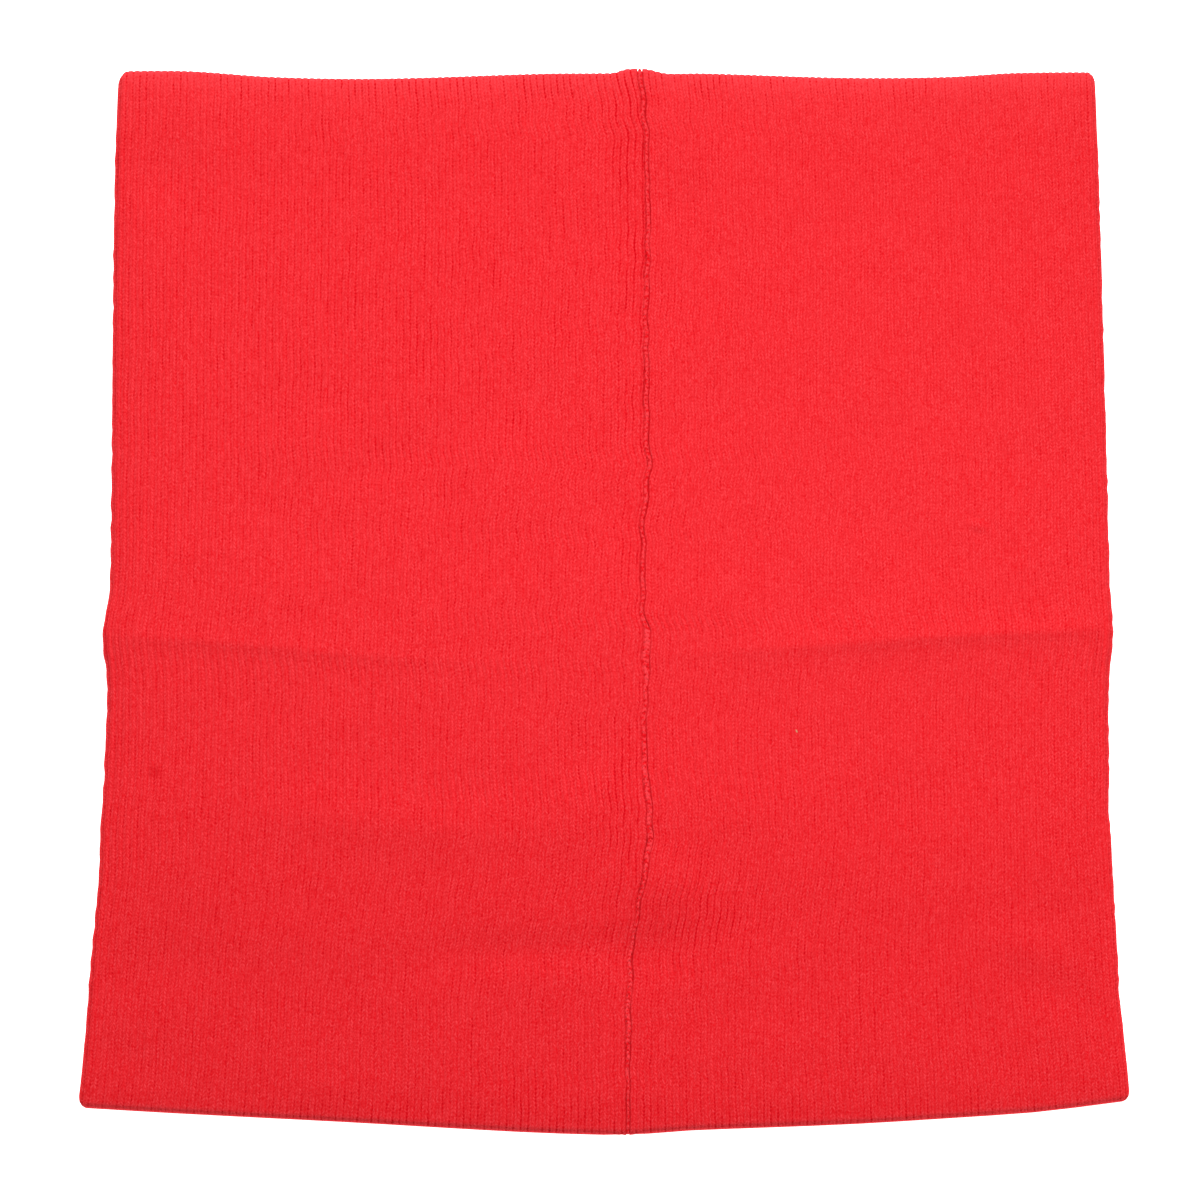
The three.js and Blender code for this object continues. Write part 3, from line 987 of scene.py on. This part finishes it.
def patch(make, place, x, y, wide, long, turn, soft):
    """1 within an oval on the upper layer, 0 outside it, with a soft border."""
    made = make.node("Mapping", {"Vector": place}, vector_type="TEXTURE")
    made.inputs["Location"].default_value = (x * MM, y * MM, 0)
    made.inputs["Rotation"].default_value = (0, 0, math.radians(turn))
    made.inputs["Scale"].default_value = (wide * MM, long * MM, 1)
    split = make.node("SeparateXYZ", {"Vector": made.outputs["Vector"]})
    flat = make.node("CombineXYZ", {"X": split.outputs["X"], "Y": split.outputs["Y"]})
    away = make.node("VectorMath", {0: flat.outputs["Vector"]}, operation="LENGTH")
    inside = make.ramp(away.outputs["Value"], 1.0 + soft, 1.0 - soft)
    upper = make.math("GREATER_THAN", split.outputs["Z"], PRESSED / 2 * MM)
    return make.math("MULTIPLY", inside, upper)


def uneven_knit(make, knit_map, split):
    """The knit map's counts of ribs and courses, shifted a little from stitch to stitch."""
    wander, jitter, hop = (
        make.sway(make.stretch(knit_map, per_rib, per_course), 1.0, reach)
        for per_rib, per_course, reach in (RIB_WANDER, RIB_JITTER, COURSE_HOP)
    )
    ribs = make.math("ADD", make.math("ADD", split.outputs["X"], wander), jitter)
    return ribs, make.math("ADD", split.outputs["Y"], hop)


def leaning_legs(make, ribs, aside, leg_course):
    """The two legs of each stitch: their relief, and the painted highlight on each, scaled by a
    random tone.
    """
    leg = make.math("FLOOR", make.math("MULTIPLY", ribs, 2.0))
    tone = make.chance(leg, make.math("ROUND", leg_course))
    across = make.math("SINE", make.math("MULTIPLY", aside, 2 * math.pi))
    legs = make.math("MULTIPLY", make.ramp(make.wave(leg_course), 0.0, 0.9, 0.15), across)
    return legs, make.math("MULTIPLY", legs, make.math("ADD", tone, LEG["least tone"]))


def dotted_groove_shade(make, knit_map, ribs, courses, aside, strength):
    """Painted shade in the groove between two ribs: a dark dot to each course, closer where the
    groove is strong.
    """
    count = make.math("ROUND", ribs)
    groove_course = make.math("ADD", courses, make.chance(count, 7.0))
    dot = make.chance(count, make.math("FLOOR", groove_course))
    dots = make.ramp(make.wave(make.math("ADD", groove_course, 0.5)), -0.2, 0.9)
    dots = make.math("MULTIPLY", dots, make.math("MULTIPLY_ADD", dot, 0.9, 0.4))
    dots = make.math("MULTIPLY_ADD", make.ramp(strength, 1.1, 1.7), 0.4, dots)
    groove = make.math("MULTIPLY", make.ramp(aside, GROOVE_HALF, 0.0), dots)
    groove = make.math("MULTIPLY", groove, strength)
    patches = make.noise(make.stretch(knit_map, *GROOVE_PATCHES), 1.0)
    return make.math("MULTIPLY", groove, make.ramp(patches, 0.3, 0.7, 0.2, 1.2))


def knit_shade(make, body, course, light, pinhole):
    """How dark the yarn is, from 0 to 1: mottled at random, with painted shade in the holes of a
    rib, a painted highlight on the legs, and painted light and shade toward the hems.
    """
    shade = make.math("MULTIPLY_ADD", pinhole, 0.2, 0.7)
    shade = make.math("MULTIPLY_ADD", light, -0.55, shade)
    shade = make.math("ADD", shade, make.sway(body, *MOTTLE))
    for change, start, end, share in COURSE_PAINTED_LIGHT:
        shade = make.math(change, shade, make.ramp(course, start, end, 0.0, share))
    return make.clip(shade)


def worn_marks(make, body, colour):
    """The faint smudge and the speck of lint, laid over a colour."""
    smudge = make.math("MULTIPLY", patch(make, body, *SMUDGE), SMUDGE_SHARE)
    colour = make.blend(smudge, colour, KNIT_DEEP_PAINTED_SHADE_AND_SMUDGE)
    return make.blend(patch(make, body, *LINT), colour, LINT_COLOUR)


def rib_knit_finish():
    """Red 1x1 rib: each rib is two rows of leaning legs with a painted highlight, and the grooves
    between ribs are dotted with painted shade, as are the fainter holes down the middle of a rib."""
    make = Finish("red_rib_knit", *YARN_SURFACE)
    knit_map = make.node("UVMap", uv_map="knit").outputs["UV"]
    body = make.node("TexCoord").outputs["Object"]
    strength = make.node("Attribute", attribute_name="groove_strength").outputs["Fac"]
    split = make.node("SeparateXYZ", {"Vector": knit_map})
    ribs, courses = uneven_knit(make, knit_map, split)
    aside = make.math("PINGPONG", ribs, 0.5)  # 0 in the groove, 0.5 on the rib's middle line
    leg_course = make.math("ADD", courses, make.chance(make.math("FLOOR", ribs), 0.0))
    leg_course = make.math("MULTIPLY_ADD", aside, LEG["lean"], leg_course)
    legs, light = leaning_legs(make, ribs, aside, leg_course)
    # The holes down the middle of a rib: a dip in the bump and painted shade in the colour.
    pinhole = make.math("MULTIPLY", make.ramp(aside, 0.34, 0.5), make.wave(leg_course, 2.0))
    groove = dotted_groove_shade(make, knit_map, ribs, courses, aside, strength)

    shade = knit_shade(make, body, split.outputs["Y"], light, pinhole)
    # Pale yarn with a painted highlight on the legs, toward dark yarn in painted shade.
    colour = make.blend(shade, KNIT_PALE_TONE_AND_HIGHLIGHT, KNIT_DARK_TONE_AND_SHADE)
    # Painted shade in the grooves, and deeper painted shade in the strongest of them.
    colour = make.blend(make.clip(groove), colour, KNIT_GROOVE_PAINTED_SHADE)
    colour = make.blend(make.ramp(groove, 0.8, 1.9), colour, KNIT_DEEP_PAINTED_SHADE_AND_SMUDGE)
    # Deep painted shade in the grooves beside the chain, made patchy by this noise.
    worn = make.ramp(make.noise(body, SEAM_SHADE_GRAIN), 0.35, 0.65, 0.25, 0.85)
    deep = make.math("MULTIPLY", make.ramp(strength, 1.8, 3.0), worn)
    colour = make.blend(deep, colour, KNIT_DEEP_PAINTED_SHADE_AND_SMUDGE)
    make.feed(make.shader.inputs["Base Color"], worn_marks(make, body, colour))

    height = make.math("MULTIPLY_ADD", pinhole, -0.4, legs)
    height = make.math("MULTIPLY_ADD", patch(make, body, *SNAG), SNAG_RISE / BUMP, height)
    height = make.math("MULTIPLY_ADD", make.noise(body, *FIBRE_GRAIN), 0.8, height)
    make.bump(height, BUMP * MM)
    return make.material


def seam_yarn_finish():
    """The chain's yarn: the same red, with the fine lumps of its fibres, and painted shade toward
    the grooves at its borders.
    """
    make = Finish("red_seam_yarn", *YARN_SURFACE)
    body = make.node("TexCoord").outputs["Object"]
    shade = make.ramp(make.noise(body, *CHAIN_MOTTLE), 0.4, 0.64)
    colour = make.blend(shade, KNIT_PALE_TONE_AND_HIGHLIGHT, KNIT_DARK_TONE_AND_SHADE)
    # Painted shade toward the grooves at the chain's borders.
    border = make.node("Attribute", attribute_name="border").outputs["Fac"]
    make.feed(make.shader.inputs["Base Color"], make.blend(border, colour, KNIT_DEEP_PAINTED_SHADE_AND_SMUDGE))
    make.bump(make.noise(body, *FIBRE_GRAIN), CHAIN_BUMP * MM)
    return make.material


def table_finish():
    """A white table top that glows with its own light: it lights the cloth from below as well, so
    that the cloth casts little shadow.
    """
    make = Finish("white_table", 0.9, 0.0)
    body = make.node("TexCoord").outputs["Object"]
    faint = make.noise(body, 6.0)
    make.feed(make.shader.inputs["Base Color"], make.blend(faint, TABLE_LIGHT, TABLE_DARK))
    make.shader.inputs["Emission Color"].default_value = (1, 1, 1, 1)
    make.shader.inputs["Emission Strength"].default_value = TABLE_GLOW
    return make.material


# ---- table, light and camera, in metres and degrees ----
TABLE_HALF = 2.5
TABLE_CLEAR = 0.1 * MM  # between the table and the underside
WORLD_GLOW = 0.14
# Each light's size, power, azimuth, elevation and distance.
LIGHTS = {
    "key": ((6.0, 4.0), 828.0, 178.0, 34.0, 8.0),
    "front": ((3.0, 1.5), 24.0, 0.0, 8.0, 4.0),
    "overhead": ((0.8, 0.25), 1.62, 138.0, 80.0, 0.51),
}
CAMERA = {"elevation": 80.0, "distance": 1.25, "lens": 142.55, "sensor": 36.0}
CAMERA_TARGET = (-1.06 * MM, -2.1 * MM, 3.0 * MM)


def make_table():
    bm = bmesh.new()
    bmesh.ops.create_grid(bm, x_segments=1, y_segments=1, size=TABLE_HALF)
    bmesh.ops.translate(bm, vec=(0, 0, -TABLE_CLEAR), verts=bm.verts)
    mesh = bpy.data.meshes.new("table_top")
    bm.to_mesh(mesh)
    bm.free()
    piece = new_piece("table_top", mesh, table_finish())
    return piece


def aim(thing, place, target):
    """Puts a light or a camera at a place, looking at a target."""
    thing.location = place
    thing.rotation_mode = "QUATERNION"
    thing.rotation_quaternion = (Vector(target) - Vector(place)).to_track_quat("-Z", "Y")


def toward(azimuth, elevation):
    """The direction out from the origin: azimuth 0 is the front, where the bottom hem lies."""
    turn, rise = math.radians(azimuth), math.radians(elevation)
    level = math.cos(rise)
    return Vector((math.sin(turn) * level, -math.cos(turn) * level, math.sin(rise)))


def make_light(name, size, power, azimuth, elevation, distance):
    data = bpy.data.lights.new(name, "AREA")
    data.shape = "RECTANGLE"
    data.size, data.size_y = size
    data.energy = power
    light = bpy.data.objects.new(name, data)
    bpy.context.collection.objects.link(light)
    aim(light, toward(azimuth, elevation) * distance, (0, 0, 0))


def make_world():
    world = bpy.data.worlds.new("soft_studio")
    bpy.context.scene.world = world
    world.use_nodes = True
    background = world.node_tree.nodes["Background"]
    background.inputs["Color"].default_value = (1, 1, 1, 1)
    background.inputs["Strength"].default_value = WORLD_GLOW


def make_camera():
    data = bpy.data.cameras.new("camera")
    data.lens, data.sensor_width = CAMERA["lens"], CAMERA["sensor"]
    camera = bpy.data.objects.new("camera", data)
    bpy.context.collection.objects.link(camera)
    back = toward(0.0, CAMERA["elevation"]) * CAMERA["distance"]
    aim(camera, Vector(CAMERA_TARGET) + back, CAMERA_TARGET)
    bpy.context.scene.camera = camera


def make_scene():
    make_camera()
    make_world()
    for name, settings in LIGHTS.items():
        make_light(name, *settings)
    table_top = make_table()
    tube = make_knit_tube(rib_knit_finish())
    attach(tube, "root")
    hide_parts("knit_panel")
    chain = make_seam_chain(seam_yarn_finish())
    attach(chain, "root")
    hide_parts("seam_chain")
    bpy.context.scene.view_settings.view_transform = "Standard"


make_scene()
